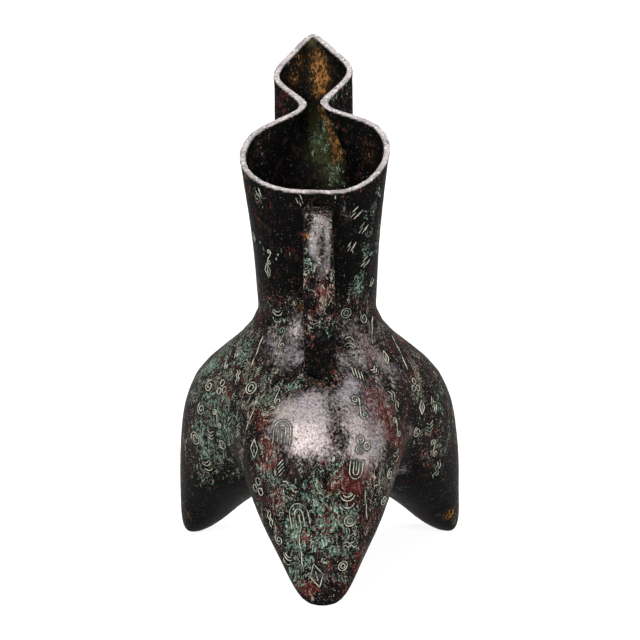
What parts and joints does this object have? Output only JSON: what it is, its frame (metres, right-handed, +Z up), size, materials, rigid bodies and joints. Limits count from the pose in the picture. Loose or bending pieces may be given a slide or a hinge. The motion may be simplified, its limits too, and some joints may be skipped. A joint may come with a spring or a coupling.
{
  "type": "tripod bronze wine pourer",
  "caption": "Ancient Chinese style bronze wine pourer with bulbous hollow legs that merge into one belly, a tall neck pinched into a pouring spout, and a strap handle.",
  "frame": {"origin": "middle of the footprint's bounding rectangle on the ground, on the plane of the three foot tips", "axes": "+Z up along the neck, +Y from the handle towards the spout, +X to the right as seen from the handle side"},
  "size_m": [0.1688, 0.17, 0.3006],
  "materials": {
    "patinated_bronze": "dark brown-black patina with green and red mineral crust, semi-gloss",
    "worn_bronze": "handled bronze, worn to a grey-brown sheen",
    "bronze_fittings": "dull cast bronze"
  },
  "bodies": {
    "root": {"rear_leg": "patinated_bronze", "rear_leg_spacer_1": "bronze_fittings", "rear_leg_spacer_2": "bronze_fittings", "rear_leg_spacer_3": "bronze_fittings", "right_leg": "patinated_bronze", "right_leg_spacer_1": "bronze_fittings", "right_leg_spacer_2": "bronze_fittings", "right_leg_spacer_3": "bronze_fittings", "left_leg": "patinated_bronze", "left_leg_spacer_1": "bronze_fittings", "left_leg_spacer_2": "bronze_fittings", "left_leg_spacer_3": "bronze_fittings", "neck_and_spout": "patinated_bronze", "neck_spacer_1": "bronze_fittings", "neck_spacer_2": "bronze_fittings", "neck_spacer_3": "bronze_fittings", "strap_handle": "worn_bronze", "upper_rivet_head": "bronze_fittings", "lower_rivet_head": "bronze_fittings"}
  },
  "joints": []
}
